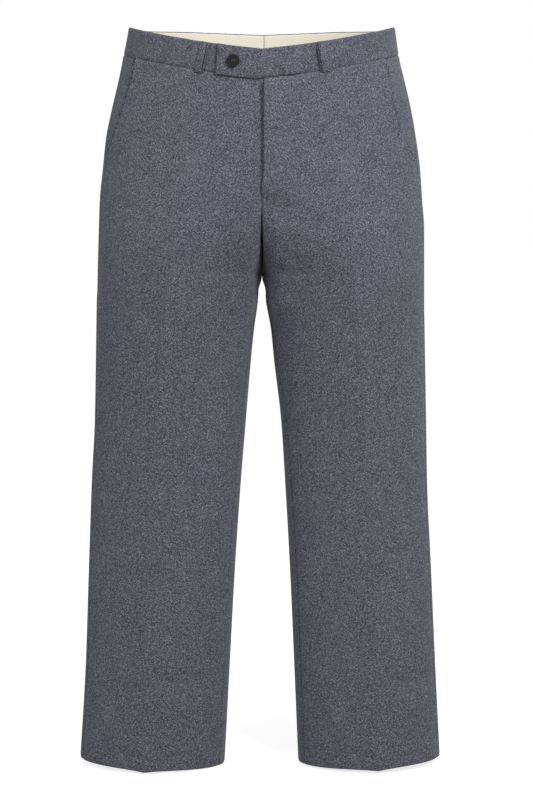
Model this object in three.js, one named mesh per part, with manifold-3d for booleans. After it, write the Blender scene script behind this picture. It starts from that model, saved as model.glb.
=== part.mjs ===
// Dress trousers, filled out as if worn, in millimetres.
// +X is the wearer's left, the front faces -Y and +Z is up. The origin is the middle of the
// waist opening, level with the top of the waistband at the side seams.

import * as THREE from 'three';
import { mergeVertices } from 'three/addons/utils/BufferGeometryUtils.js';
import Module from 'manifold-3d';

// Driving dimensions
const BAND_HEIGHT = 40;
const FRONT_DROP = 45;
const FRONT_DROP_ROUND = 0.08;
const BACK_RISE = 7;
const BACK_RISE_RUN = 0.6;
const BACK_DIP = 2;
const BACK_DIP_POWER = 6;
const FORK_Z = -356;
const SEAT_Z = -200;
const HEM_Z = { R: -1051.7, L: -1049.7 };
const HEM_TILT = 0.04;
const HEM_DIP = 2.5;
const HEM_TURN = 45;
const HEM_EASE = 150;

// Cloth walls and the clearances between pieces
const CLOTH = 1.5;
const HEM_CLOTH = 3;
const BAND_CLOTH = 2.8;
const LINING_CLOTH = 1.2;
const GAP = 0.3;
const WAIST_GAP = 0.5;
const LINING_GAP = 0.9;
const BAND_STAND = 0.6;
const WAIST_EASE = 0.9;
const WAIST_EASE_DEPTH = 12;
const WAIST_EASE_FROM = [60, 120];

// Fly: the left front laps over the right one, down to the fly's end
const FLY_END = -235;
const FLY_FADE = 18;
const FLY_EDGE = 1.5;
const FLY_UNDERLAP = 13;
const FLY_LIFT = 2.2;
const FLY_LIFT_FADE = [15, 48];

// Extended tab of the waistband, its button, and the end of the right band under it
const TAB_LENGTH = 60.5;
const TAB_OVERHANG = 2.5;
const TAB_OVERHANG_RUN = 6;
const TAB_LIFT = BAND_CLOTH + GAP;
const TAB_LIFT_FADE = [34, 58];
const BAND_UNDERLAP = 30;
const BUTTON_DIAMETER = 17.8;
const BUTTON_THICKNESS = 3.2;
const BUTTON_FOOT_INSET = 1.2;
const BUTTON_ROUND = 1;
const BUTTON_RIM = 1.7;
const BUTTON_SLOPE = 0.8;
const BUTTON_DISH = 1;
const BUTTON_HOLE = 1.7;
const BUTTON_HOLE_SPACING = 3.1;
const BUTTON_FROM_CENTRE = 38;
const BUTTON_BELOW_TOP = 21.3;
const BUTTON_SEAT = 0.4;

// Belt loops: the arcs of the front ones' tops and bottoms are measured from centre front, and the
// back ones' from centre back
const FRONT_LOOP = { R: { top: 80, bottom: 85.5 }, L: { top: 81.5, bottom: 85 } };
const BACK_LOOP = 165;
const LOOP_WIDTH = 12;
const LOOP_LENGTH = 44;
const LOOP_CLOTH = 1.8;
const LOOP_ABOVE_BAND = 0.5;
const LOOP_STAND = 2.4;
const LOOP_ARCH_POWER = 0.7;
const LOOP_SEAT = 0.7;

// Creases and pockets
const CREASE_SPREAD = 25;
const FACING_UNDERLAP = 8;
const FACING_DEPTH = CLOTH + 2;
const FACING_RISE_FROM = 8;
const FACING_RISE_INSET = [3, 12];

// Band lining: its top and bottom edges below the band's top edge, and its ends at the front
const LINING_TOP = 2;
const LINING_BOTTOM = 39.5;
const LINING_START = { R: -27, L: 36 };

// Grid sizes
const UPPER_ROWS = 6;
const SEAT_ROWS = 9;
const LEG_ROWS = 13;
const LEG_ROW_POWER = 1.35;
const FRONT_COLUMNS = { inner: 7, outer: 7 };
const BACK_COLUMNS = { outer: 8, inner: 7 };
const FACING_COLUMNS = 6;
const BAND_ROWS = 3;
const BAND_COLUMNS = 32;
const LINING_COLUMNS = 24;
const LOOP_ROWS = 10;
const LOOP_COLUMNS = 2;
const BUTTON_SEGMENTS = 40;
const ROUND_STEPS = 3;
const HOLE_SEGMENTS = 12;
const SECTION_STEPS = 160;
const SEAM_TRIES = 4;

// One row for each level section. outer and gap are the leg's outer and inner edges from the
// middle plane, R and L the wearer's right and left leg. join is how far the oval runs past the
// middle plane: 1 where both halves make one full oval, 0 at the fork. crease is the crease's
// distance from the middle plane, front and back are the depths of the oval, ridge is how far
// each crease stands out, and inseam and side are how far those seams lie to the front.
const COLUMNS = [
  'z', 'outerR', 'outerL', 'gapR', 'gapL', 'join', 'creaseR', 'creaseL', 'front', 'back',
  'ridgeR', 'ridgeL', 'ridgeBack', 'inseam', 'side',
];
const SECTIONS = [
  [15, 188, 188.5, 0, 0, 1, 86, 68, 111, 112, 0, 0.6, 0, 0, 12],
  [-40, 198.5, 196, 0, 0, 1, 91, 74, 112.5, 114, 0.2, 1, 0, 0, 15],
  [-75, 205.9, 204.5, 0, 0, 1, 94.5, 79, 114, 118, 0.3, 1.2, 0, 0, 19],
  [-118, 216, 214.5, 0, 0, 1, 100, 86, 116, 124, 0.5, 1.6, 0, 0, 22],
  [-161, 224.6, 221.8, 0, 0, 1, 105.5, 94, 117, 131, 0.8, 2, 0, 0, 25],
  [-204, 229, 227.5, 0, 0, 0.9, 110, 103.5, 117.5, 137, 1.3, 2.4, 0, 0, 26],
  [-248, 233.3, 230.4, 0, 0, 0.66, 113.8, 113.2, 116.5, 140, 2, 2.8, 0.3, 0, 26],
  [-291, 234.7, 233.3, 0, 0, 0.36, 118.5, 119.5, 113, 137, 2.7, 3.2, 1, 0, 25],
  [-320, 235.5, 233.3, 0, 0, 0.17, 122.5, 122.4, 109.5, 132, 3.2, 3.6, 1.8, 0, 23],
  [-342, 236, 233.3, 0, 0, 0.055, 125.5, 124.4, 106, 127, 3.6, 3.9, 2.4, 0, 22],
  [-356, 236.3, 233.3, 0, 0, 0, 127.5, 125.6, 103.5, 123, 3.8, 4, 2.8, 0, 21],
  [-361, 236.4, 233.3, 0.4, 0.4, 0, 128.3, 126.2, 102.4, 121.6, 3.8, 4, 2.9, 1.2, 21],
  [-377, 236.8, 233.3, 4.9, 4.9, 0, 130.5, 127.8, 99.5, 117.5, 4, 4.2, 3.3, 6, 20],
  [-392, 237.6, 233.3, 5.8, 5.8, 0, 132.5, 129.4, 97, 113, 4.2, 4.4, 3.7, 10, 20],
  [-435, 238.3, 234, 11.5, 13, 0, 137.6, 133.9, 89, 104, 4.8, 4.8, 4.5, 17, 19],
  [-478, 239, 234.7, 15.8, 17.3, 0, 141, 137.7, 82, 97, 5.3, 5.3, 5, 22, 18],
  [-564, 240.5, 236.2, 23, 27.4, 0, 147.7, 143, 72, 86, 6.2, 6.2, 5.6, 26, 18],
  [-651, 244.8, 237.6, 30.2, 33.1, 0, 154.2, 149.2, 66, 78, 6.8, 6.8, 6, 26, 18],
  [-780, 249.2, 243.4, 38.9, 40.3, 0, 159.2, 155.4, 63, 72, 7, 7, 6, 26, 18],
  [-910, 253.4, 249.1, 46, 46, 0, 163.8, 160.2, 61.5, 69, 7, 7, 6, 25, 18],
  [-1060, 262, 256.4, 54, 52.5, 0, 165, 163, 60.8, 67, 7, 7, 6, 24, 18],
];

// How far each slanted pocket edge lies in front of its side seam, at each height
const POCKET_COLUMNS = ['z', 'insetR', 'insetL'];
const POCKET = [
  [-20, 47, 47],
  [-70, 42.5, 48.5],
  [-100, 38.5, 49],
  [-150, 24.5, 40],
  [-185, 8, 18],
  [-200, 0, 0],
  [-230, 0, 0],
];

const WOOL = new THREE.MeshStandardMaterial({ color: 0x5d6069, roughness: 0.95 });
const WOOL_BAND = new THREE.MeshStandardMaterial({ color: 0x60636c, roughness: 0.95 });
const COTTON = new THREE.MeshStandardMaterial({ color: 0xe6e0d0, roughness: 0.9 });
const HORN = new THREE.MeshStandardMaterial({ color: 0x2a2422, roughness: 0.4 });

const clamp = (value, low, high) => Math.min(high, Math.max(low, value));
const mix = (from, to, share) => from + (to - from) * share;

function smooth(from, to, value) {
  const share = clamp((value - from) / (to - from), 0, 1);
  return share * share * (3 - 2 * share);
}

// A smooth curve through one column of a table, with no overshoot between its rows
function curveThrough(columns, table, name) {
  const rows = [...table].sort((a, b) => a[0] - b[0]);
  const index = columns.indexOf(name);
  const zs = rows.map((row) => row[0]);
  const values = rows.map((row) => row[index]);
  const rises = zs.slice(1).map((z, i) => (values[i + 1] - values[i]) / (z - zs[i]));
  const slopes = zs.map((z, i) => {
    if (i === 0) return rises[0];
    if (i === zs.length - 1) return rises[i - 1];
    const [before, after] = [rises[i - 1], rises[i]];
    return before * after <= 0 ? 0 : (2 * before * after) / (before + after);
  });
  return (z) => {
    const at = clamp(z, zs[0], zs[zs.length - 1]);
    const i = clamp(zs.findIndex((level) => level > at) - 1, 0, zs.length - 2);
    const k = at >= zs[zs.length - 1] ? zs.length - 2 : i;
    const span = zs[k + 1] - zs[k];
    const s = (at - zs[k]) / span;
    const [s2, s3] = [s * s, s * s * s];
    return (
      values[k] * (2 * s3 - 3 * s2 + 1) +
      slopes[k] * span * (s3 - 2 * s2 + s) +
      values[k + 1] * (3 * s2 - 2 * s3) +
      slopes[k + 1] * span * (s3 - s2)
    );
  };
}

const read = Object.fromEntries(
  COLUMNS.slice(1).map((name) => [name, curveThrough(COLUMNS, SECTIONS, name)]),
);
const pocketInset = {
  R: curveThrough(POCKET_COLUMNS, POCKET, 'insetR'),
  L: curveThrough(POCKET_COLUMNS, POCKET, 'insetL'),
};

const SIDES = { R: -1, L: 1 };
const OTHER = { L: 'R', R: 'L' };

// The level section of one half of the trousers: an ellipse that starts at the plane x = cut in
// front, or at the inseam below the fork, and runs past the crease, the side seam and the back
// crease to the seat seam or the inseam again. Its points are found by their arc length.
function legSection(side, z, cut = GAP / 2) {
  const outer = read[`outer${side}`](z);
  const inner = read[`gap${side}`](z) - read.join(z) * outer;
  const middle = (outer + inner) / 2;
  const half = (outer - inner) / 2;
  const front = read.front(z);
  const back = read.back(z);
  const crease = read[`crease${side}`](z);
  const angleAt = (x) => Math.acos(clamp((middle - x) / half, -1, 1));
  const inseam = Math.asin(read.inseam(z) / front);
  const start = angleAt(cut) + inseam;
  const end = 2 * Math.PI - angleAt(GAP / 2) + inseam;
  const place = (angle) => {
    const depth = Math.sin(angle) > 0 ? front : back;
    const x = middle - half * Math.cos(angle);
    const y = -depth * Math.sin(angle);
    const normal = new THREE.Vector2((x - middle) / half ** 2, y / depth ** 2).normalize();
    return { x, y, normal };
  };
  const angles = [];
  const arcs = [0];
  for (let i = 0; i <= SECTION_STEPS; i++) angles.push(mix(start, end, i / SECTION_STEPS));
  const spots = angles.map(place);
  for (let i = 1; i <= SECTION_STEPS; i++) {
    const step = Math.hypot(spots[i].x - spots[i - 1].x, spots[i].y - spots[i - 1].y);
    arcs.push(arcs[i - 1] + step);
  }
  const arcAt = (angle) => {
    const step = clamp((angle - start) / (end - start), 0, 1) * SECTION_STEPS;
    const i = Math.min(Math.floor(step), SECTION_STEPS - 1);
    return mix(arcs[i], arcs[i + 1], step - i);
  };
  const marks = {
    length: arcs[SECTION_STEPS],
    crease: arcAt(angleAt(crease)),
    side: arcAt(Math.PI - Math.asin(read.side(z) / front)),
    backCrease: arcAt(2 * Math.PI - angleAt(crease)),
  };
  const point = (arc, out = 0) => {
    const i = clamp(arcs.findIndex((length) => length > arc) - 1, 0, SECTION_STEPS - 1);
    const k = arc >= marks.length ? SECTION_STEPS - 1 : i;
    const share = clamp((arc - arcs[k]) / (arcs[k + 1] - arcs[k]), 0, 1);
    const { x, y, normal } = place(mix(angles[k], angles[k + 1], share));
    const ridge =
      read[`ridge${side}`](z) * Math.exp(-Math.abs(arc - marks.crease) / CREASE_SPREAD) +
      read.ridgeBack(z) * Math.exp(-Math.abs(arc - marks.backCrease) / CREASE_SPREAD);
    const lift = ridge + out;
    return new THREE.Vector3(SIDES[side] * (x + normal.x * lift), y + normal.y * lift, z);
  };
  return { marks, point };
}

// Height of the waistband's top edge, with q running from the front (0) to the back (1)
function bandTop(q) {
  const share = Math.abs(q);
  if (share < 0.5) {
    const toFront = Math.hypot(1 - 2 * share, FRONT_DROP_ROUND) - FRONT_DROP_ROUND;
    const whole = Math.hypot(1, FRONT_DROP_ROUND) - FRONT_DROP_ROUND;
    const h = toFront / whole;
    return (-FRONT_DROP * (h + Math.sin((h * Math.PI) / 2))) / 2;
  }
  const toBack = 2 * share - 1;
  return BACK_RISE * smooth(0, BACK_RISE_RUN, toBack) - BACK_DIP * toBack ** BACK_DIP_POWER;
}

// A closed wall from a grid of outer points and a grid of inner points, rows first
function wall(name, material, outer, inner) {
  const rows = outer.length;
  const columns = outer[0].length;
  const positions = [outer, inner].flatMap((grid) => grid.flat().flatMap((p) => [p.x, p.y, p.z]));
  const at = (layer, row, column) => (layer * rows + row) * columns + column;
  const faces = [];
  const quad = (a, b, c, d) => faces.push([a, b, c], [a, c, d]);
  for (let r = 0; r < rows - 1; r++) {
    for (let c = 0; c < columns - 1; c++) {
      quad(at(0, r, c), at(0, r + 1, c), at(0, r + 1, c + 1), at(0, r, c + 1));
      quad(at(1, r, c), at(1, r, c + 1), at(1, r + 1, c + 1), at(1, r + 1, c));
    }
  }
  for (let r = 0; r < rows - 1; r++) {
    quad(at(0, r, 0), at(1, r, 0), at(1, r + 1, 0), at(0, r + 1, 0));
    const last = columns - 1;
    quad(at(0, r, last), at(0, r + 1, last), at(1, r + 1, last), at(1, r, last));
  }
  for (let c = 0; c < columns - 1; c++) {
    quad(at(0, 0, c), at(0, 0, c + 1), at(1, 0, c + 1), at(1, 0, c));
    const last = rows - 1;
    quad(at(0, last, c), at(1, last, c), at(1, last, c + 1), at(0, last, c + 1));
  }
  return closedMesh(name, material, positions, faces);
}

// A mesh whose faces all point out, whichever way its grid was laid
function closedMesh(name, material, positions, faces) {
  const corner = (i) => new THREE.Vector3(positions[3 * i], positions[3 * i + 1], positions[3 * i + 2]);
  const volume = faces.reduce(
    (sum, [a, b, c]) => sum + corner(a).dot(corner(b).cross(corner(c))),
    0,
  );
  const facing = volume < 0 ? faces.map(([a, b, c]) => [a, c, b]) : faces;
  const geometry = new THREE.BufferGeometry();
  geometry.setAttribute('position', new THREE.Float32BufferAttribute(positions, 3));
  geometry.setIndex(facing.flat());
  geometry.computeVertexNormals();
  const mesh = new THREE.Mesh(geometry, material);
  mesh.name = name;
  return mesh;
}

// Level rows between the seat and the hem turn, closer together near the fork
const LEVELS = [];
for (let i = 1; i <= SEAT_ROWS; i++) {
  LEVELS.push(FORK_Z + (SEAT_Z - FORK_Z) * (1 - i / SEAT_ROWS) ** 2);
}
for (let i = 1; i <= LEG_ROWS; i++) {
  LEVELS.push(mix(FORK_Z, HEM_Z.L + HEM_TURN, (i / LEG_ROWS) ** LEG_ROW_POWER));
}

// Shifts a level near the hem so that the lowest row follows the hem, which lies square to the leg
function hemHeight(side, z, x, creaseNearness) {
  const middle = (read[`outer${side}`](HEM_Z[side]) + read[`gap${side}`](HEM_Z[side])) / 2;
  const hem = HEM_Z[side] + HEM_TILT * (x - middle) - HEM_DIP * creaseNearness;
  const share = smooth(HEM_Z.L + HEM_EASE, HEM_Z.L, z);
  return z + share * (hem - HEM_Z.L);
}

// Height of the waist seam over a line of the cloth, found by settling on where the line meets it
function waistSeam(side, cutOf, arcOf) {
  let seam = bandTop(0.5) - BAND_HEIGHT - WAIST_GAP;
  for (let i = 0; i < SEAM_TRIES; i++) {
    const cut = cutOf(seam);
    const { marks } = legSection(side, seam, cut);
    const fromCentre = arcOf(marks, seam) + cut;
    seam = bandTop(fromCentre / (marks.length + cut)) - BAND_HEIGHT - WAIST_GAP;
  }
  return seam;
}

// A panel's grid of points. arcOf(marks, column, z) gives the arc length of each column, and
// out(arc, z, below) how far the outer face stands off the section there.
function panel(name, side, columns, cutOf, arcOf, out) {
  const columnGrid = [];
  for (let c = 0; c <= columns; c++) {
    const seam = waistSeam(side, cutOf, (marks, z) => arcOf(marks, c, z));
    const levels = [];
    for (let r = 0; r <= UPPER_ROWS; r++) levels.push(mix(seam, SEAT_Z, r / UPPER_ROWS));
    levels.push(...LEVELS, HEM_Z.L + HEM_TURN - HEM_CLOTH, HEM_Z.L);
    columnGrid.push(
      levels.map((z, row) => {
        const flat = legSection(side, z, cutOf(z));
        const flatArc = arcOf(flat.marks, c, z);
        const fromMiddle = Math.abs(flat.point(flatArc).x);
        const creaseNearness = Math.exp(-Math.abs(flatArc - flat.marks.crease) / CREASE_SPREAD);
        const height = hemHeight(side, z, fromMiddle, creaseNearness);
        const section = legSection(side, height, cutOf(z));
        const arc = arcOf(section.marks, c, z);
        const stand = out(arc, z, seam - z);
        const thickness = row >= levels.length - 2 ? HEM_CLOTH : CLOTH;
        return { outer: section.point(arc, stand), inner: section.point(arc, stand - thickness) };
      }),
    );
  }
  const rows = columnGrid[0].length;
  const grid = (layer) =>
    Array.from({ length: rows }, (_, r) => columnGrid.map((column) => column[r][layer]));
  return wall(name, WOOL, grid('outer'), grid('inner'));
}

// The cloth stands out a little below the waistband, away from the fly and the tab
function waistEase(fromFront, below) {
  return WAIST_EASE * smooth(...WAIST_EASE_FROM, fromFront) * Math.exp(-below / WAIST_EASE_DEPTH);
}

// A front runs from the fly or the inseam, past the crease, to the slanted pocket edge
function front(side) {
  const lapping = side === 'L';
  const onFly = (z) => smooth(FLY_END, FLY_END + FLY_FADE, z);
  const lifted = (z) => smooth(FLY_END - FLY_FADE, FLY_END, z);
  const cutOf = (z) => mix(GAP / 2, lapping ? FLY_EDGE : -FLY_UNDERLAP, onFly(z));
  const arcOf = (marks, c, z) => {
    const edge = marks.side - GAP / 2 - pocketInset[side](z);
    const first = z > FORK_Z ? 0 : GAP / 2;
    if (c <= FRONT_COLUMNS.inner) return mix(first, marks.crease, c / FRONT_COLUMNS.inner);
    return mix(marks.crease, edge, (c - FRONT_COLUMNS.inner) / FRONT_COLUMNS.outer);
  };
  const out = (arc, z, below) => {
    const lift = lapping ? FLY_LIFT * lifted(z) * (1 - smooth(...FLY_LIFT_FADE, arc)) : 0;
    return lift + waistEase(arc, below);
  };
  const name = lapping ? 'front_left' : 'front_right';
  return panel(name, side, FRONT_COLUMNS.inner + FRONT_COLUMNS.outer, cutOf, arcOf, out);
}

// A back runs from the side seam, past the back crease, to the seat seam or the inseam
function back(side) {
  const arcOf = (marks, c, z) => {
    const last = marks.length - (z > FORK_Z ? 0 : GAP / 2);
    if (c <= BACK_COLUMNS.outer) {
      return mix(marks.side + GAP / 2, marks.backCrease, c / BACK_COLUMNS.outer);
    }
    return mix(marks.backCrease, last, (c - BACK_COLUMNS.outer) / BACK_COLUMNS.inner);
  };
  const out = (arc, z, below) => waistEase(WAIST_EASE_FROM[1], below);
  const name = side === 'L' ? 'back_left' : 'back_right';
  return panel(name, side, BACK_COLUMNS.outer + BACK_COLUMNS.inner, () => GAP / 2, arcOf, out);
}

// The cloth behind a slanted pocket edge: it lies inside the front's edge and comes out to meet
// the back at the side seam
function pocketFacing(side) {
  const cutOf = () => GAP / 2;
  const grids = { outer: [], inner: [] };
  for (let r = 0; r <= UPPER_ROWS; r++) {
    const line = { outer: [], inner: [] };
    for (let c = 0; c <= FACING_COLUMNS; c++) {
      const arcOf = (marks, z) => facingArc(side, marks, z, c / FACING_COLUMNS);
      const seam = waistSeam(side, cutOf, arcOf);
      const z = mix(seam, SEAT_Z, r / UPPER_ROWS);
      const section = legSection(side, z);
      const arc = arcOf(section.marks, z);
      const ease = waistEase(WAIST_EASE_FROM[1], seam - z);
      const stand = facingStand(side, z, section.marks.side - arc) + ease;
      line.outer.push(section.point(arc, stand));
      line.inner.push(section.point(arc, stand - CLOTH));
    }
    grids.outer.push(line.outer);
    grids.inner.push(line.inner);
  }
  const name = side === 'L' ? 'pocket_facing_left' : 'pocket_facing_right';
  return wall(name, WOOL, grids.outer, grids.inner);
}

// Arc length of a facing's point, with share running from its hidden edge to the side seam
function facingArc(side, marks, z, share) {
  const inset = pocketInset[side](z) + FACING_UNDERLAP;
  return marks.side - GAP / 2 - inset * (1 - share);
}

// How far a facing lies under the section: all its depth behind the front, and none at the side seam
function facingStand(side, z, fromSide) {
  const inset = pocketInset[side](z);
  const run = Math.max(inset - FACING_RISE_FROM, 1);
  const rise = clamp((inset - fromSide - FACING_RISE_FROM) / run, 0, 1);
  return -FACING_DEPTH * (1 - rise * smooth(...FACING_RISE_INSET, inset));
}

// Half the waist's girth on each side, at the bottom of the band
const HALF_WAIST = {
  R: legSection('R', -BAND_HEIGHT, 0).marks.length,
  L: legSection('L', -BAND_HEIGHT, 0).marks.length,
};

// A point on the waist. arc is measured from centre front to the wearer's left, depth down from
// the band's top edge, and out from the section.
function waistPoint(arc, depth, out) {
  const side = arc < 0 ? 'R' : 'L';
  const share = Math.abs(arc) / HALF_WAIST[side];
  const pastBack = share > 1;
  const q = pastBack ? 2 - share : share;
  const section = legSection(pastBack ? OTHER[side] : side, bandTop(q) - depth, 0);
  return section.point(q * section.marks.length, out);
}


// A strip of the waistband between two arcs, with its outer face at stand(arc)
function bandStrip(name, material, from, to, columns, thickness, depthOf, stand) {
  const grids = { outer: [], inner: [] };
  for (let r = 0; r <= BAND_ROWS; r++) {
    const arcs = Array.from({ length: columns + 1 }, (_, c) => mix(from, to, c / columns));
    const depth = (arc) => mix(...depthOf(arc), r / BAND_ROWS);
    grids.outer.push(arcs.map((arc) => waistPoint(arc, depth(arc), stand(arc))));
    grids.inner.push(arcs.map((arc) => waistPoint(arc, depth(arc), stand(arc) - thickness)));
  }
  return wall(name, material, grids.outer, grids.inner);
}

const tabLift = (arc) => TAB_LIFT * (1 - smooth(...TAB_LIFT_FADE, arc));

function waistbands() {
  const leftDepth = (arc) => [
    0,
    BAND_HEIGHT + TAB_OVERHANG * smooth(0, -TAB_OVERHANG_RUN, arc),
  ];
  const rightDepth = () => [0, BAND_HEIGHT];
  const liningDepth = () => [LINING_TOP, LINING_BOTTOM];
  const leftStand = (arc) => BAND_STAND + tabLift(arc);
  const rightStand = () => BAND_STAND;
  const liningStand = () => BAND_STAND - BAND_CLOTH - LINING_GAP;
  const back = { L: HALF_WAIST.L - GAP / 2, R: -HALF_WAIST.R + GAP / 2 };
  const band = (name, from, to, depthOf, stand) =>
    bandStrip(name, WOOL_BAND, from, to, BAND_COLUMNS, BAND_CLOTH, depthOf, stand);
  const lining = (name, from, to) =>
    bandStrip(name, COTTON, from, to, LINING_COLUMNS, LINING_CLOTH, liningDepth, liningStand);
  return [
    band('waistband_left', -TAB_LENGTH, back.L, leftDepth, leftStand),
    band('waistband_right', BAND_UNDERLAP, back.R, rightDepth, rightStand),
    lining('band_lining_left', LINING_START.L, back.L),
    lining('band_lining_right', LINING_START.R, back.R),
  ];
}

const LOOPS = [
  { name: 'belt_loop_front_right', top: -FRONT_LOOP.R.top, bottom: -FRONT_LOOP.R.bottom },
  { name: 'belt_loop_front_left', top: FRONT_LOOP.L.top, bottom: FRONT_LOOP.L.bottom },
  { name: 'belt_loop_back_right', top: -HALF_WAIST.R + BACK_LOOP, bottom: -HALF_WAIST.R + BACK_LOOP },
  { name: 'belt_loop_back_left', top: HALF_WAIST.L - BACK_LOOP, bottom: HALF_WAIST.L - BACK_LOOP },
  { name: 'belt_loop_centre_back', top: HALF_WAIST.L, bottom: HALF_WAIST.L },
];

// A belt loop arches off the band between its sewn ends
function beltLoop({ name, top, bottom }) {
  const grids = { outer: [], inner: [] };
  for (let r = 0; r <= LOOP_ROWS; r++) {
    const share = r / LOOP_ROWS;
    const arch = LOOP_STAND * Math.sin(Math.PI * share) ** LOOP_ARCH_POWER;
    const stand = BAND_STAND + LOOP_SEAT + arch;
    const arcs = Array.from({ length: LOOP_COLUMNS + 1 }, (_, c) =>
      mix(top, bottom, share) + LOOP_WIDTH * (c / LOOP_COLUMNS - 0.5));
    const depth = LOOP_LENGTH * share - LOOP_ABOVE_BAND;
    grids.outer.push(arcs.map((arc) => waistPoint(arc, depth, stand + LOOP_CLOTH)));
    grids.inner.push(arcs.map((arc) => waistPoint(arc, depth, stand)));
  }
  return wall(name, WOOL_BAND, grids.outer, grids.inner);
}

// Four-hole button: a dished disc with a rounded rim
async function button() {
  const wasm = await Module();
  wasm.setup();
  const solid = (geometry) => {
    geometry.deleteAttribute('normal');
    geometry.deleteAttribute('uv');
    const merged = mergeVertices(geometry, 1e-4);
    return new wasm.Manifold(
      new wasm.Mesh({
        numProp: 3,
        vertProperties: Float32Array.from(merged.attributes.position.array),
        triVerts: Uint32Array.from(merged.index.array),
      }),
    );
  };
  const radius = BUTTON_DIAMETER / 2;
  const top = BUTTON_THICKNESS;
  const profile = [[0, 0], [radius - BUTTON_FOOT_INSET, 0], [radius, BUTTON_FOOT_INSET]];
  for (let i = 0; i <= ROUND_STEPS; i++) {
    const turn = (i / ROUND_STEPS) * (Math.PI / 2);
    profile.push([radius - BUTTON_ROUND * (1 - Math.cos(turn)), top - BUTTON_ROUND * (1 - Math.sin(turn))]);
  }
  profile.push([radius - BUTTON_RIM, top]);
  profile.push([radius - BUTTON_RIM - BUTTON_SLOPE, top - BUTTON_DISH], [0, top - BUTTON_DISH]);
  const outline = profile.map(([x, y]) => new THREE.Vector2(x, y));
  const disc = new THREE.LatheGeometry(outline, BUTTON_SEGMENTS);
  disc.rotateX(Math.PI / 2);
  let body = solid(disc);
  for (const x of [-1, 1]) {
    for (const y of [-1, 1]) {
      const hole = new THREE.CylinderGeometry(
        BUTTON_HOLE / 2, BUTTON_HOLE / 2, 4 * BUTTON_THICKNESS, HOLE_SEGMENTS,
      );
      hole.rotateX(Math.PI / 2);
      hole.translate((x * BUTTON_HOLE_SPACING) / 2, (y * BUTTON_HOLE_SPACING) / 2, 0);
      body = body.subtract(solid(hole));
    }
  }
  const { vertProperties, triVerts } = body.getMesh();
  const geometry = new THREE.BufferGeometry();
  geometry.setAttribute('position', new THREE.BufferAttribute(vertProperties, 3));
  geometry.setIndex(new THREE.BufferAttribute(triVerts, 1));
  geometry.computeVertexNormals();
  const mesh = new THREE.Mesh(geometry, HORN);
  mesh.name = 'button';
  const tabFace = BAND_STAND + TAB_LIFT + GAP;
  const seat = waistPoint(-BUTTON_FROM_CENTRE, BUTTON_BELOW_TOP, tabFace);
  const above = waistPoint(-BUTTON_FROM_CENTRE, BUTTON_BELOW_TOP - radius, tabFace);
  const along = waistPoint(-BUTTON_FROM_CENTRE + radius, BUTTON_BELOW_TOP, tabFace);
  const up = above.sub(seat).normalize();
  const across = along.sub(seat).normalize();
  const outward = new THREE.Vector3().crossVectors(across, up).normalize();
  const squareUp = new THREE.Vector3().crossVectors(outward, across);
  mesh.quaternion.setFromRotationMatrix(new THREE.Matrix4().makeBasis(across, squareUp, outward));
  mesh.position.copy(seat).addScaledVector(outward, BUTTON_SEAT);
  return mesh;
}

const group = new THREE.Group();
for (const side of ['R', 'L']) group.add(front(side), back(side), pocketFacing(side));
group.add(...waistbands(), ...LOOPS.map(beltLoop), await button());

export default group;
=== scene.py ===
# %% [markdown]
# Dress trousers in grey wool, filled out as if worn, with an open waist and open hems.
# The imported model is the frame: each cloth piece below is a thin shell that follows its solid.
# Lengths in the tables are millimetres, as on a cutter's sheet, and become metres at the end.

import bmesh
import bpy
import numpy as np
from mathutils import Matrix, Vector


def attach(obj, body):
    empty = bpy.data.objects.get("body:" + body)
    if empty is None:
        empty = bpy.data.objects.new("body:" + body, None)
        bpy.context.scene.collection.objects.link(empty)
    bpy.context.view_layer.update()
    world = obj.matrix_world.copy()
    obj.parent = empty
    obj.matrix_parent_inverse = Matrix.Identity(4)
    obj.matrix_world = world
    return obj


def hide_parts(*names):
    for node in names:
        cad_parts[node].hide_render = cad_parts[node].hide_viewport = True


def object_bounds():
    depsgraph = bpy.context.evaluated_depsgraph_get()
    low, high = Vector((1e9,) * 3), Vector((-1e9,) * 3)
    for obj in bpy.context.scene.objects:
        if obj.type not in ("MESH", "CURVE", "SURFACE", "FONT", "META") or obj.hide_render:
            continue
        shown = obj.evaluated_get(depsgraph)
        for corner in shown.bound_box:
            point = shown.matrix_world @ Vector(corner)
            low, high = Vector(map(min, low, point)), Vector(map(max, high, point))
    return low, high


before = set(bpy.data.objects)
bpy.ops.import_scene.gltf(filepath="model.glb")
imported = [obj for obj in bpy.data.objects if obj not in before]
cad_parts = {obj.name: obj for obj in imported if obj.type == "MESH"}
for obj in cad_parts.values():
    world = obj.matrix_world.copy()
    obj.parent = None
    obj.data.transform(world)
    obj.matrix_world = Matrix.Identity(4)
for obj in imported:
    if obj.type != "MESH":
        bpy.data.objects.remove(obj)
cad_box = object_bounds()
print("nodes in the frame:", len(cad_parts))

# %% [markdown]
# A trouser leg is a tube whose level sections change slowly, so a short table of sections gives
# the whole form. Each row is one level. outer and gap are the edges of the leg from the middle
# plane, R and L the wearer's right and left. join is 1 where both halves make one full oval and
# 0 at the fork. crease is the crease's place, front and back the depths of the oval, ridge how
# far a crease stands out, and inseam and side how far those seams lie to the front.

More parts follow.
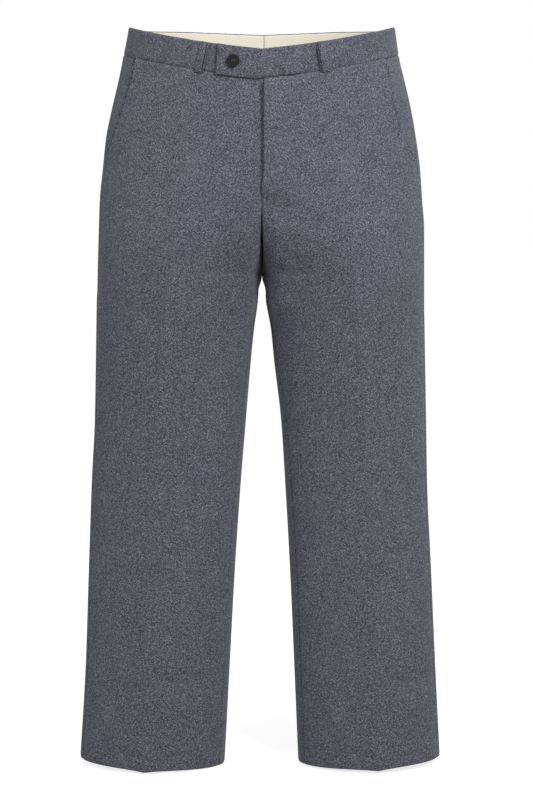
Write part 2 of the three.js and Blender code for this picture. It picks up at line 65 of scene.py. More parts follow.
# %% The table of sections
COLUMNS = (
    "z outerR outerL gapR gapL join creaseR creaseL front back ridgeR ridgeL ridgeBack inseam side"
).split()
SECTIONS = np.array([
    [15, 188, 188.5, 0, 0, 1, 86, 68, 111, 112, 0, 0.6, 0, 0, 12],
    [-40, 198.5, 196, 0, 0, 1, 91, 74, 112.5, 114, 0.2, 1, 0, 0, 15],
    [-75, 205.9, 204.5, 0, 0, 1, 94.5, 79, 114, 118, 0.3, 1.2, 0, 0, 19],
    [-118, 216, 214.5, 0, 0, 1, 100, 86, 116, 124, 0.5, 1.6, 0, 0, 22],
    [-161, 224.6, 221.8, 0, 0, 1, 105.5, 94, 117, 131, 0.8, 2, 0, 0, 25],
    [-204, 229, 227.5, 0, 0, 0.9, 110, 103.5, 117.5, 137, 1.3, 2.4, 0, 0, 26],
    [-248, 233.3, 230.4, 0, 0, 0.66, 113.8, 113.2, 116.5, 140, 2, 2.8, 0.3, 0, 26],
    [-291, 234.7, 233.3, 0, 0, 0.36, 118.5, 119.5, 113, 137, 2.7, 3.2, 1, 0, 25],
    [-320, 235.5, 233.3, 0, 0, 0.17, 122.5, 122.4, 109.5, 132, 3.2, 3.6, 1.8, 0, 23],
    [-342, 236, 233.3, 0, 0, 0.055, 125.5, 124.4, 106, 127, 3.6, 3.9, 2.4, 0, 22],
    [-356, 236.3, 233.3, 0, 0, 0, 127.5, 125.6, 103.5, 123, 3.8, 4, 2.8, 0, 21],
    [-361, 236.4, 233.3, 0.4, 0.4, 0, 128.3, 126.2, 102.4, 121.6, 3.8, 4, 2.9, 1.2, 21],
    [-377, 236.8, 233.3, 4.9, 4.9, 0, 130.5, 127.8, 99.5, 117.5, 4, 4.2, 3.3, 6, 20],
    [-392, 237.6, 233.3, 5.8, 5.8, 0, 132.5, 129.4, 97, 113, 4.2, 4.4, 3.7, 10, 20],
    [-435, 238.3, 234, 11.5, 13, 0, 137.6, 133.9, 89, 104, 4.8, 4.8, 4.5, 17, 19],
    [-478, 239, 234.7, 15.8, 17.3, 0, 141, 137.7, 82, 97, 5.3, 5.3, 5, 22, 18],
    [-564, 240.5, 236.2, 23, 27.4, 0, 147.7, 143, 72, 86, 6.2, 6.2, 5.6, 26, 18],
    [-651, 244.8, 237.6, 30.2, 33.1, 0, 154.2, 149.2, 66, 78, 6.8, 6.8, 6, 26, 18],
    [-780, 249.2, 243.4, 38.9, 40.3, 0, 159.2, 155.4, 63, 72, 7, 7, 6, 26, 18],
    [-910, 253.4, 249.1, 46, 46, 0, 163.8, 160.2, 61.5, 69, 7, 7, 6, 25, 18],
    [-1060, 262, 256.4, 54, 52.5, 0, 165, 163, 60.8, 67, 7, 7, 6, 24, 18],
])
POCKET_COLUMNS = "z insetR insetL".split()
POCKET = np.array([
    [-20, 47, 47],
    [-70, 42.5, 48.5],
    [-100, 38.5, 49],
    [-150, 24.5, 40],
    [-185, 8, 18],
    [-200, 0, 0],
    [-230, 0, 0],
])

BAND = 40.0
WAIST_GAP = 0.3
FORK, SEAT = -356.0, -200.0
HEM = {"R": -1051.7, "L": -1049.7}
HEM_TILT, HEM_DIP, HEM_EASE = 0.04, 2.5, 150.0
CREASE_SPREAD = 25.0
SIGN = {"R": -1, "L": 1}


def curve_through(table, column):
    """A smooth curve through one column of a table, with no overshoot between its rows."""
    rows = table[np.argsort(table[:, 0])]
    zs, values = rows[:, 0], rows[:, column]
    spans = np.diff(zs)
    rises = np.diff(values) / spans
    slopes = np.empty_like(values)
    slopes[0], slopes[-1] = rises[0], rises[-1]
    before, after = rises[:-1], rises[1:]
    same = before * after > 0
    total = np.where(same, before + after, 1)
    slopes[1:-1] = np.where(same, 2 * before * after / total, 0)

    def at(z):
        z = np.clip(z, zs[0], zs[-1])
        k = np.clip(np.searchsorted(zs, z, side="right") - 1, 0, len(zs) - 2)
        s = (z - zs[k]) / spans[k]
        return (
            values[k] * (2 * s**3 - 3 * s**2 + 1)
            + slopes[k] * spans[k] * (s**3 - 2 * s**2 + s)
            + values[k + 1] * (3 * s**2 - 2 * s**3)
            + slopes[k + 1] * spans[k] * (s**3 - s**2)
        )

    return at


read = {name: curve_through(SECTIONS, i) for i, name in enumerate(COLUMNS) if i}
pocket_inset = {side: curve_through(POCKET, POCKET_COLUMNS.index("inset" + side)) for side in "RL"}
print("sections:", len(SECTIONS))

# %% [markdown]
# A tailor measures cloth along its surface, so each point is found by its arc length round the
# section, from centre front or the inseam, past the crease, the side seam and the back crease.
# numpy works out all the sections of a piece at once, which keeps the script quick.

# %% Measuring round a section
STEPS = 200


def smooth(low, high, value):
    share = np.clip((value - low) / (high - low), 0, 1)
    return share * share * (3 - 2 * share)


class Section:
    """The level sections of one half of the trousers at the heights z, one for each point."""

    def __init__(self, side, z, cut=0.0):
        self.side, self.z = side, np.asarray(z, dtype=float)
        outer = read["outer" + side](self.z)
        inner = read["gap" + side](self.z) - read["join"](self.z) * outer
        self.middle, self.half = (outer + inner) / 2, (outer - inner) / 2
        self.front, self.back = read["front"](self.z), read["back"](self.z)
        inseam = np.arcsin(read["inseam"](self.z) / self.front)
        self.start = self.angle_of(cut) + inseam
        self.end = 2 * np.pi - self.angle_of(0.0) + inseam
        turn = np.linspace(0, 1, STEPS + 1)
        angles = self.start[:, None] + (self.end - self.start)[:, None] * turn
        x, y, _, _ = self.place(angles, self.middle[:, None], self.half[:, None],
                                self.front[:, None], self.back[:, None])
        steps = np.hypot(np.diff(x, axis=1), np.diff(y, axis=1))
        self.arcs = np.concatenate([np.zeros((len(self.z), 1)), np.cumsum(steps, axis=1)], axis=1)
        crease = self.angle_of(read["crease" + side](self.z))
        self.marks = {
            "start": np.zeros(len(self.z)),
            "crease": self.arc_of(crease),
            "side": self.arc_of(np.pi - np.arcsin(read["side"](self.z) / self.front)),
            "back_crease": self.arc_of(2 * np.pi - crease),
            "end": self.arcs[:, -1],
        }
        self.marks["pocket"] = self.marks["side"] - pocket_inset[side](self.z)

    def angle_of(self, x):
        return np.arccos(np.clip((self.middle - x) / self.half, -1, 1))

    @staticmethod
    def place(angle, middle, half, front, back):
        depth = np.where(np.sin(angle) > 0, front, back)
        x, y = middle - half * np.cos(angle), -depth * np.sin(angle)
        nx, ny = (x - middle) / half**2, y / depth**2
        size = np.hypot(nx, ny)
        return x, y, nx / size, ny / size

    def arc_of(self, angle):
        spot = np.clip((angle - self.start) / (self.end - self.start), 0, 1) * STEPS
        k = np.minimum(spot.astype(int), STEPS - 1)
        rows = np.arange(len(k))
        low, high = self.arcs[rows, k], self.arcs[rows, k + 1]
        return low + (high - low) * (spot - k)

    def point(self, arc, out=0.0, inward=0.0):
        """Points in metres at these arc lengths, off the section by out and set back by inward."""
        rows = np.arange(len(self.z))
        k = np.clip((self.arcs <= arc[:, None]).sum(axis=1) - 1, 0, STEPS - 1)
        low, high = self.arcs[rows, k], self.arcs[rows, k + 1]
        share = np.clip((arc - low) / (high - low), 0, 1)
        angle = self.start + (self.end - self.start) * (k + share) / STEPS
        x, y, nx, ny = self.place(angle, self.middle, self.half, self.front, self.back)
        lift = out + self.ridge(arc)
        spots = [SIGN[self.side] * (x + nx * lift), y + ny * lift + inward, self.z]
        return np.stack(spots, axis=1) / 1000

    def ridge(self, arc):
        front = np.abs(arc - self.marks["crease"])
        back = np.abs(arc - self.marks["back_crease"])
        return read["ridge" + self.side](self.z) * np.exp(-front / CREASE_SPREAD) + read[
            "ridgeBack"
        ](self.z) * np.exp(-back / CREASE_SPREAD)


def band_top(q):
    """Height of the waistband's top edge, with q from centre front (0) to centre back (1)."""
    toward_front = (np.hypot(1 - 2 * q, 0.08) - 0.08) / (np.hypot(1, 0.08) - 0.08)
    front = -45 * (toward_front + np.sin(toward_front * np.pi / 2)) / 2
    toward_back = np.clip(2 * q - 1, 0, 1)
    back = 7 * smooth(0, 0.6, toward_back) - 2 * toward_back**6
    return np.where(q < 0.5, front, back)


half_waist = {s: float(Section(s, [-BAND]).marks["end"][0]) for s in "RL"}
print("waist girth in mm:", round(sum(half_waist.values())))

# %% [markdown]
# Cloth is woven flat, so a piece starts as a flat bmesh grid and every vertex is then moved to
# its place on the form. The flat place is kept as a UV map in metres: the weave follows it, so
# the grain runs along the crease as a cutter lays it. Rows and columns crowd together at seams,
# creases and the fork, where the surface turns fastest.


# %% Laying a grid of cloth
def linked(name, data):
    made = bpy.data.objects.new(name, data)
    bpy.context.scene.collection.objects.link(made)
    return made


def finished(name, mesh):
    """The bmesh as an object in the scene."""
    data = bpy.data.meshes.new(name)
    mesh.to_mesh(data)
    mesh.free()
    return linked(name, data)


def cloth_grid(name, rows, columns, place, thickness):
    """A sheet of rows x columns vertices. place(row, column) gives points, and u and v."""
    mesh = bmesh.new()
    bmesh.ops.create_grid(mesh, x_segments=columns - 1, y_segments=rows - 1, size=0.5)
    mesh.verts.ensure_lookup_table()
    flat = np.array([v.co[:] for v in mesh.verts])
    column = np.rint((flat[:, 0] + 0.5) * (columns - 1)).astype(int)
    row = np.rint((0.5 - flat[:, 1]) * (rows - 1)).astype(int)
    points, u, v = place(row, column)
    for vertex, point in zip(mesh.verts, points):
        vertex.co = point
    weave = mesh.loops.layers.uv.new("cloth")
    for face in mesh.faces:
        for loop in face.loops:
            loop[weave].uv = (u[loop.vert.index], v[loop.vert.index])
        face.smooth = True
    middle_x = points.mean(axis=0)[0]
    mesh.normal_update()
    outward = 0.0
    for face in mesh.faces:
        spot = face.calc_center_median()
        outward += face.normal.dot(spot - Vector((middle_x, 0, spot.z))) * face.calc_area()
    if outward < 0:
        bmesh.ops.reverse_faces(mesh, faces=mesh.faces[:])
    piece = finished(name, mesh)
    wall = piece.modifiers.new("wall", "SOLIDIFY")
    wall.thickness = thickness / 1000
    wall.offset = -1
    wall.use_even_offset = False
    return piece


def crowded(count, near=(0.8, 2.0, 4.0), length=125.0):
    """Shares from 0 to 1 with extra steps close to both ends, near mm from them."""
    first = [0.0] + [n / length for n in near]
    last = [1 - n / length for n in reversed(near)] + [1.0]
    inner = np.linspace(first[-1], last[0], count - len(first) - len(last) + 2)[1:-1]
    return np.concatenate([first, inner, last])


# %% [markdown]
# The photo shows smooth, well pressed cloth: sharp creases, and only soft, shallow unevenness.
# Each fold below is one soft trough or ridge, laid from one place on the cloth to
# another: s is the distance round from the front or back crease, towards the side seam, z the
# height, width how soft it is and depth how far it goes in (below 0) or out. A row names its
# piece, s and z where it starts, s and z where it ends, its width and its depth.

# %% The folds
FOLD_BOW, FOLD_END = 0.12, 1.6
FOLDS = [
    ("front_right", -112, -262, -52, -300, 10, -1.6),
    ("front_right", -116, -300, -62, -352, 9, -1.3),
    ("front_right", -40, -330, 40, -352, 16, -0.9),
    ("front_right", 30, -150, 78, -236, 13, -0.9),
    ("front_right", -70, -455, 30, -432, 18, 0.8),
    ("front_right", -66, -610, 10, -640, 20, -0.9),
    ("front_left", -112, -256, -46, -288, 11, -1.7),
    ("front_left", -118, -296, -70, -346, 8, -1.4),
    ("front_left", 12, -196, 70, -216, 12, -1.0),
    ("front_left", 10, -232, 62, -246, 11, -1.1),
    ("front_left", -30, -402, 56, -380, 18, 0.9),
    ("front_left", -60, -560, 30, -592, 20, -0.9),
    ("front_left", -50, -860, 20, -838, 22, 0.6),
    ("back_right", 84, -300, 20, -338, 13, -2.2),
    ("back_right", 96, -346, 0, -372, 15, -2.6),
    ("back_right", 70, -402, -40, -416, 17, -1.6),
    ("back_right", 60, -640, -52, -622, 18, -1.8),
    ("back_right", 48, -690, -60, -706, 20, -1.4),
    ("back_left", 82, -292, 24, -330, 14, -2.1),
    ("back_left", 98, -340, -8, -368, 14, -2.7),
    ("back_left", 64, -410, -30, -398, 18, -1.4),
    ("back_left", 56, -628, -58, -646, 19, -1.9),
    ("back_left", 50, -700, -46, -688, 17, -1.2),
]


def fold_relief(piece, s, z):
    """How far the folds of a piece push each point in or out, in millimetres."""
    relief = np.zeros_like(s)
    for name, s0, z0, s1, z1, width, depth in FOLDS:
        if name != piece:
            continue
        run = np.array([s1 - s0, z1 - z0], dtype=float)
        length = np.hypot(*run)
        along = ((s - s0) * run[0] + (z - z0) * run[1]) / length
        across = ((s - s0) * run[1] - (z - z0) * run[0]) / length
        bow = across - FOLD_BOW * length * (along / length) * (1 - along / length)
        past = np.maximum(np.maximum(-along, along - length), 0)
        relief += depth * np.exp(-((bow / width) ** 2) - (past / (FOLD_END * width)) ** 2)
    return relief


# %% [markdown]
# Each trouser leg is cut as a front and a back. The rows of a panel start at the waist seam,
# which dips in front, become level at the seat, crowd at the fork and end at the hem, which lies
# square to the leg. Seam edges roll in, because the seam's turnings pull them inwards. At centre
# front and back they roll in along the middle plane, so that both halves keep meeting there.
# The first row is tucked up inside the waistband, and no light shows through that seam.

# %% The rows and edges of a panel
UPPER_ROWS, SEAT_ROWS, LEG_ROWS, LEG_CROWDING = 44, 40, 170, 1.12
WAIST_ROWS, HEM_ROWS = (0, 0.006, 0.014), (3.0, 1.8, 0.8, 0.0)
SEAM_ROLL, SEAM_ROLL_WIDTH = 1.4, 1.7
HEM_ROLL, HEM_ROLL_WIDTH = 0.7, 1.6
WAIST_ROLL, WAIST_ROLL_WIDTH = 1.3, 1.5
WAIST_EASE, WAIST_EASE_DEPTH = 0.9, 12.0
EASE_STARTS = (60.0, 120.0)
BAND_TUCK, TUCK_SINK = 1.5, 0.8
SEAM_GUESS = -45.0
POCKET_END = (-208.0, -185.0)
FORK_FROM_BELOW, FORK_FROM_ABOVE = (FORK - 30, FORK + 4), (-240, -300)
CLOTH = 1.6
MIRROR = {"R": 1, "L": -1}


def panel_levels():
    """Shares of the way down to the seat, and then the heights of the level rows."""
    upper = np.concatenate([WAIST_ROWS, np.linspace(0.03, 1, UPPER_ROWS - len(WAIST_ROWS))])
    seat = FORK + (SEAT - FORK) * (1 - np.arange(1, SEAT_ROWS + 1) / SEAT_ROWS) ** 2
    share = (np.arange(1, LEG_ROWS + 1) / LEG_ROWS) ** LEG_CROWDING
    leg = FORK + (HEM["L"] + HEM_ROWS[0] - FORK) * share
    hem = HEM["L"] + np.array(HEM_ROWS[1:])
    return upper, np.concatenate([seat, leg, hem])


UPPER, LEVEL = panel_levels()


def hem_height(side, z, x, near_crease):
    middle = (read["outer" + side](HEM[side]) + read["gap" + side](HEM[side])) / 2
    hem = HEM[side] + HEM_TILT * (x - middle) - HEM_DIP * near_crease
    return z + smooth(HEM["L"] + HEM_EASE, HEM["L"], z) * (hem - HEM["L"])


def panel(name, side, shares, marks, stand, cut_of, inward=None):
    """One panel between the named marks. shares are the columns' places between them."""
    first, crease, last = marks
    columns = np.concatenate([shares[0], 1 + shares[1][1:]])

    def arc_of(section, place):
        low = np.where(place <= 1, section.marks[first], section.marks[crease])
        high = np.where(place <= 1, section.marks[crease], section.marks[last])
        return low + (high - low) * np.where(place <= 1, place, place - 1)

    seam = np.full(len(columns), SEAM_GUESS)
    for _ in range(4):
        cut = cut_of(seam)
        section = Section(side, seam, cut)
        q = np.clip((arc_of(section, columns) + cut) / (section.marks["end"] + cut), 0, 1)
        seam = band_top(q) - BAND - WAIST_GAP

    def lay(row, column):
        upper = row < UPPER_ROWS
        top = seam[column]
        z = np.where(upper, top + (SEAT - top) * UPPER[np.minimum(row, UPPER_ROWS - 1)],
                     LEVEL[np.clip(row - UPPER_ROWS, 0, len(LEVEL) - 1)])
        place = columns[column]
        level = Section(side, z, cut_of(z))
        arc = arc_of(level, place)
        x = np.abs(level.point(arc)[:, 0]) * 1000
        near = np.exp(-np.abs(arc - level.marks[crease]) / CREASE_SPREAD)
        height = hem_height(side, z, x, near) + BAND_TUCK * (row == 0)
        section = Section(side, height, cut_of(z))
        arc = arc_of(section, place)
        out = stand(section, arc, height, top - z)
        from_first, from_last = arc - section.marks[first], section.marks[last] - arc
        inner, outer = (from_last, from_first) if last == "end" else (from_first, from_last)
        near_fork = smooth(*FORK_FROM_BELOW, height) * smooth(*FORK_FROM_ABOVE, height)
        toward_side = 1 if crease == "crease" else -1
        roll = SEAM_ROLL * (1 - near_fork) * np.exp(-((inner / SEAM_ROLL_WIDTH) ** 2))
        out -= roll * (height < FORK)
        set_back = toward_side * roll * (height >= FORK)
        if inward:
            set_back += inward(section, arc, height)
        side_roll = 1.0 if last == "end" else smooth(*reversed(POCKET_END), height)
        out -= SEAM_ROLL * side_roll * np.exp(-((outer / SEAM_ROLL_WIDTH) ** 2))
        out -= WAIST_ROLL * np.exp(-(((top - z) / WAIST_ROLL_WIDTH) ** 2))
        out -= TUCK_SINK * (row == 0)
        out -= HEM_ROLL * np.exp(-(((z - HEM["L"]) / HEM_ROLL_WIDTH) ** 2))
        s = (arc - section.marks[crease]) * toward_side
        out += fold_relief(name.replace("_cloth", ""), s, height)
        points = section.point(arc, out, set_back)
        return points, (arc - section.marks[crease]) * MIRROR[side] / 1000, height / 1000

    piece = cloth_grid(name, UPPER_ROWS + len(LEVEL), len(columns), lay, CLOTH)
    print(name, "rows:", UPPER_ROWS + len(LEVEL), "columns:", len(columns))
    return piece


def waist_ease(arc, below):
    """The fullness under the band, which starts beside the front creases."""
    return WAIST_EASE * smooth(*EASE_STARTS, arc) * np.exp(-below / WAIST_EASE_DEPTH)


# %% [markdown]
# The fly closes left over right. The left front's edge lies over the right front, which runs on a
# little way beneath it, so a shadow falls along the edge. Below the fly's end both meet in the
# crotch seam. The slanted pocket edge is where the front panel simply stops.

# %% The two fronts
FLY_END, FLY_FADE = -235.0, 18.0
FLY_EDGE, FLY_UNDERLAP = 3.0, 13.0
FLY_LIFT, FLY_FULLNESS, FLY_SINK = 2.7, 2.4, 3.4
FLY_LIFT_FADE = (15, 48)
FLY_SINK_WIDTH, FLY_SINK_FADE = 9, 40
BELOW_BAND = (2, 14)
POCKET_STAND, POCKET_EDGE_WIDTH = 1.6, 7
CLEFT_TOP, CLEFT_BOTTOM, CLEFT_DEPTH = -264.0, -425.0, 0.75
CLEFT_WIDTH, CLEFT_FLAT = (1.3, 7.0), 0.25
CLEFT_DEEP, CLEFT_FADE = CLEFT_TOP - 60, FORK - 10
CLEFT_COLUMNS = (0.5, 1.0, 1.6, 2.3, 3.1, 4.0, 5.0, 6.2, 7.6, 9.4)
THIGH_FULLNESS, THIGH_PLACE, THIGH_SPREAD = 8.0, 24.0, 16.0
THIGH_TOP, THIGH_BOTTOM, THIGH_FRONT = (-265, -320), (-430, -390), -20


def crotch_cleft(section, arc, height):
    """The thighs press together in front of the crotch seam, which lies deep between them."""
    spot = section.point(arc) * 1000
    across = np.abs(spot[:, 0]) - read["gap" + section.side](height)
    share = smooth(CLEFT_TOP, FORK, height)
    width = CLEFT_WIDTH[0] + (CLEFT_WIDTH[1] - CLEFT_WIDTH[0]) * share**2
    depth = CLEFT_DEPTH * np.maximum(-spot[:, 1], 0) * smooth(CLEFT_TOP, CLEFT_DEEP, height)
    inside = 1 - smooth(CLEFT_FLAT * width, width, across)
    return depth * inside * smooth(CLEFT_BOTTOM, CLEFT_FADE, height)


def thigh_fullness(section, arc, height):
    spot = section.point(arc) * 1000
    bulge = np.exp(-(((np.abs(spot[:, 0]) - THIGH_PLACE) / THIGH_SPREAD) ** 2))
    bulge = bulge * (spot[:, 1] < THIGH_FRONT)
    return THIGH_FULLNESS * bulge * smooth(*THIGH_TOP, height) * smooth(*THIGH_BOTTOM, height)


def front(side):
    lapping = side == "L"
    edge = FLY_EDGE if lapping else -FLY_UNDERLAP

    def cut_of(z):
        return edge * smooth(FLY_END, FLY_END + FLY_FADE, z)

    def stand(section, arc, z, below):
        if lapping:
            lift = FLY_LIFT + FLY_FULLNESS * smooth(*BELOW_BAND, below)
            lift = lift * smooth(FLY_END - FLY_FADE, FLY_END, z) * (1 - smooth(*FLY_LIFT_FADE, arc))
        else:
            beside_fly = np.exp(-(((arc - FLY_UNDERLAP) / FLY_SINK_WIDTH) ** 2))
            beside_fly = beside_fly * smooth(FLY_END, FLY_END + FLY_SINK_FADE, z)
            lift = -FLY_SINK * beside_fly * smooth(*BELOW_BAND, below)
        from_pocket = section.marks["pocket"] - arc
        pocket = POCKET_STAND * np.exp(-((from_pocket / POCKET_EDGE_WIDTH) ** 2))
        pocket = pocket * smooth(*POCKET_END, z)
        return lift + pocket + waist_ease(arc, below) + thigh_fullness(section, arc, height=z)

    name = "front_left" if lapping else "front_right"
    shares = (crowded(44, near=CLEFT_COLUMNS), crowded(36))
    marks = ("start", "crease", "pocket")
    piece = panel(name + "_cloth", side, shares, marks, stand, cut_of, crotch_cleft)
    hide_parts(name)
    return piece


fronts = {side: front(side) for side in "RL"}

# %% [markdown]
# The backs are wider than the fronts and carry the seat. Their waist is shaped by one dart each,
# a narrow wedge sewn together on the inside, which shows as a short seam.

# %% The two backs
DART_LENGTH, DART_FROM_BACK = 88.0, 118.0
DART_DEPTH, DART_WIDTH = 0.8, 1.6


def back(side):
    def stand(section, arc, z, below):
        from_dart = arc - (section.marks["end"] - DART_FROM_BACK)
        dart = smooth(DART_LENGTH + 6, DART_LENGTH - 20, below) * (below >= 0)
        seam = -DART_DEPTH * np.exp(-((from_dart / DART_WIDTH) ** 2)) * dart
        return seam + waist_ease(EASE_STARTS[1], below)

    name = "back_left" if side == "L" else "back_right"
    shares = (crowded(40), crowded(38))
    marks = ("side", "back_crease", "end")
    piece = panel(name + "_cloth", side, shares, marks, stand, lambda z: z * 0.0)
    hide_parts(name)
    return piece


backs = {side: back(side) for side in "RL"}

# %% [markdown]
# Behind each slanted edge a facing in the same cloth fills the corner up to the side seam. It
# starts a little way under the front and comes out to meet the back.

# %% The pocket facings
FACING_UNDERLAP, FACING_DEPTH, FACING_SLOPE = 8.0, 5.0, 1.4
FACING_TUCK_SINK, FACING_FOOT = 2.0, SEAT + 4
FACING_REACH, FACING_MOUTH = (0.5, 8), (1, 0.25)


def facing(side):
    rows, columns = 60, 22

    def lay(row, column):
        share = column / (columns - 1)

        def arc_in(section):
            inset = pocket_inset[side](section.z) + FACING_UNDERLAP
            return section.marks["side"] - inset * (1 - share)

        seam = np.full(len(row), SEAM_GUESS)
        for _ in range(3):
            section = Section(side, seam)
            seam = band_top(arc_in(section) / section.marks["end"]) - BAND - WAIST_GAP
        z = seam + (FACING_FOOT - seam) * row / (rows - 1) + BAND_TUCK * (row == 0)
        section = Section(side, z)
        inset = pocket_inset[side](z)
        arc = arc_in(section)
        past = arc - section.marks["pocket"]
        mouth = smooth(*FACING_MOUTH, past / np.clip(inset, *FACING_REACH))
        slope = FACING_SLOPE * (1 - np.clip(past / np.maximum(inset, 1), 0, 1))
        out = waist_ease(EASE_STARTS[1], seam - z) - FACING_DEPTH * mouth - slope * (1 - mouth)
        out -= SEAM_ROLL * np.exp(-(((section.marks["side"] - arc) / SEAM_ROLL_WIDTH) ** 2))
        out -= FACING_TUCK_SINK * (row == 0)
        u = (arc - section.marks["crease"]) * MIRROR[side] / 1000
        return section.point(arc, out), u, z / 1000

    name = "pocket_facing_left" if side == "L" else "pocket_facing_right"
    piece = cloth_grid(name + "_cloth", rows, columns, lay, CLOTH)
    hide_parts(name)
    return piece


facings = {side: facing(side) for side in "RL"}

# %% [markdown]
# The waistband is two straight strips, joined at centre back. The left strip is longer: its
# square tab laps over the right strip and buttons there. A place on the band is an arc from
# centre front, positive to the wearer's left, and a depth below the top edge.


# %% Places on the waist
def waist_points(arc, depth, out):
    arc, depth = np.asarray(arc, dtype=float), np.asarray(depth, dtype=float)
    side = np.where(arc < 0, "R", "L")
    half = np.where(arc < 0, half_waist["R"], half_waist["L"])
    share = np.abs(arc) / half
    past_back = share > 1
    q = np.where(past_back, 2 - share, share)
    on_left = (side == "L") != past_back
    z = band_top(q) - depth
    out = np.broadcast_to(np.asarray(out, dtype=float), arc.shape)
    points = np.empty((len(arc), 3))
    for name, chosen in (("L", on_left), ("R", ~on_left)):
        if chosen.any():
            section = Section(name, z[chosen])
            points[chosen] = section.point(q[chosen] * section.marks["end"], out[chosen])
    return points


def waist_frame(arc, depth, out):
    """A point on the band with its directions along, up and outward."""
    places = ((arc, depth), (arc + 4, depth), (arc, depth - 4))
    here, along, above = (Vector(waist_points([a], [d], [out])[0]) for a, d in places)
    along, up = (along - here).normalized(), (above - here).normalized()
    outward = along.cross(up).normalized()
    return here, along, outward.cross(along), outward


# %% [markdown]
# Each strip is a grid with its long edges rolled in. The tab stands off the band beneath it and
# curls up a little at its end. A ripple of a quarter of a millimetre keeps the band from looking
# like a board, and the lining lies just inside it.

# %% The waistband and its lining
BAND_STAND, BAND_CLOTH = 0.6, 2.8
TAB_LENGTH, TAB_OVERHANG, TAB_STEP = 60.5, 2.5, (-6, 0)
TAB_LIFT, TAB_LIFT_FADE = 3.1, (34, 58)
TAB_CURL, TAB_CURL_WIDTH = 2.6, 9
RIPPLE, RIPPLE_STARTS = 0.25, (-70, -120)
BAND_UNDERLAP = 30.0
BAND_EDGE_ROLL, BAND_EDGE_WIDTH = 1.2, 1.3
LINING_SEAM, LINING_SHIFT = 0.5, 2.8
LINING_TOP, LINING_BOTTOM, LINING_CLOTH, LINING_SET = 1.7, 39.5, 1.0, 0.9
LINING_ROLL, LINING_END_ROLL = -0.3, 0.6
LINING_LEFT, LINING_RIGHT = 36.0, -27.0


def strip(name, start, end, columns, rows, depth_of, stand, thickness,
          roll=BAND_EDGE_ROLL, end_roll=0.0):
    """A strip of the band from one arc to another. Its long edges and its first end roll in."""
    length = abs(end - start)
    along = start + (end - start) * crowded(columns, near=(0.7, 1.6, 3.0), length=length)
    down = crowded(rows, near=(0.5, 1.2, 2.4), length=BAND)

    def lay(row, column):
        arc = along[column]
        top, bottom = depth_of(arc)
        depth = top + (bottom - top) * down[row]
        from_edge = np.minimum(np.minimum(depth - top, bottom - depth), np.abs(arc - start))
        out = stand(arc, depth) - roll * np.exp(-((from_edge / BAND_EDGE_WIDTH) ** 2))
        out += end_roll * np.exp(-((np.abs(arc - end) / BAND_EDGE_WIDTH) ** 2))
        return waist_points(arc, depth, out), arc / 1000, -depth / 1000

    return cloth_grid(name, rows, columns, lay, thickness)


def left_depth(arc):
    return 0.0 * arc, BAND + TAB_OVERHANG * (1 - smooth(*TAB_STEP, arc))


def left_stand(arc, depth):
    ripple = RIPPLE * np.sin(arc / 31.0) * np.sin(depth / 13.0)
    curl = TAB_CURL * np.exp(-(((arc + TAB_LENGTH) / TAB_CURL_WIDTH) ** 2))
    return BAND_STAND + TAB_LIFT * (1 - smooth(*TAB_LIFT_FADE, arc)) + curl + ripple


def right_stand(arc, depth):
    ripple = RIPPLE * np.sin(arc / 27.0 + 1) * np.sin(depth / 14.0)
    return BAND_STAND + ripple * smooth(*RIPPLE_STARTS, arc)


bands = {
    "waistband_left": strip("waistband_left_cloth", -TAB_LENGTH, half_waist["L"], 150, 22,
                            left_depth, left_stand, BAND_CLOTH),
    "waistband_right": strip("waistband_right_cloth", BAND_UNDERLAP, -half_waist["R"], 140, 22,
                             lambda arc: (0.0 * arc, BAND + 0.0 * arc), right_stand, BAND_CLOTH),
}
linings = {
    name: strip(name + "_cloth", start, end, 120, 14,
                lambda arc: (LINING_TOP + 0.0 * arc, LINING_BOTTOM + 0.0 * arc),
                lambda arc, depth: BAND_STAND - BAND_CLOTH - LINING_SET, LINING_CLOTH,
                LINING_ROLL, LINING_END_ROLL)
    for name, start, end in (
        ("band_lining_left", LINING_LEFT, half_waist["L"] - LINING_SEAM - LINING_SHIFT),
        ("band_lining_right", LINING_RIGHT, -half_waist["R"] + LINING_SEAM - LINING_SHIFT),
    )
}
for name, piece in {**bands, **linings}.items():
    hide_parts(name)
print("band strips:", len(bands) + len(linings))

# %% [markdown]
# A belt loop is a narrow folded strip, sewn to the band at its top and just under its lower edge.
# It stands off a little in between, so a belt can pass, and its ends sit flat under their stitches.
# The front loops lean away from the band at their edge near the fly, where a dark slot shows.

# %% The belt loops
LOOP_WIDTH, LOOP_LENGTH, LOOP_CLOTH = 12.0, 43.5, 1.4
LOOP_STAND, LOOP_SEAT, LOOP_TILT = 1.9, 0.3, 1.7
LOOP_ARCH, LOOP_EDGE_ROLL, LOOP_EDGE_WIDTH = 0.7, 0.6, 0.9
LOOP_SLOT, LOOP_SLOT_IN = 3.4, 1.3
# how each front loop leans, its sign telling on which side the fly is, and how wide its slot is
LEAN_AND_SLOT = {"belt_loop_front_right": (2, 0.75), "belt_loop_front_left": (-2, 0.65)}
BACK_LOOP = 165.0
LOOPS = {
    "belt_loop_front_right": (-80.0, -85.5),
    "belt_loop_front_left": (81.5, 85.0),
    "belt_loop_back_right": (-half_waist["R"] + BACK_LOOP, -half_waist["R"] + BACK_LOOP),
    "belt_loop_back_left": (half_waist["L"] - BACK_LOOP, half_waist["L"] - BACK_LOOP),
    "belt_loop_centre_back": (half_waist["L"], half_waist["L"]),
}


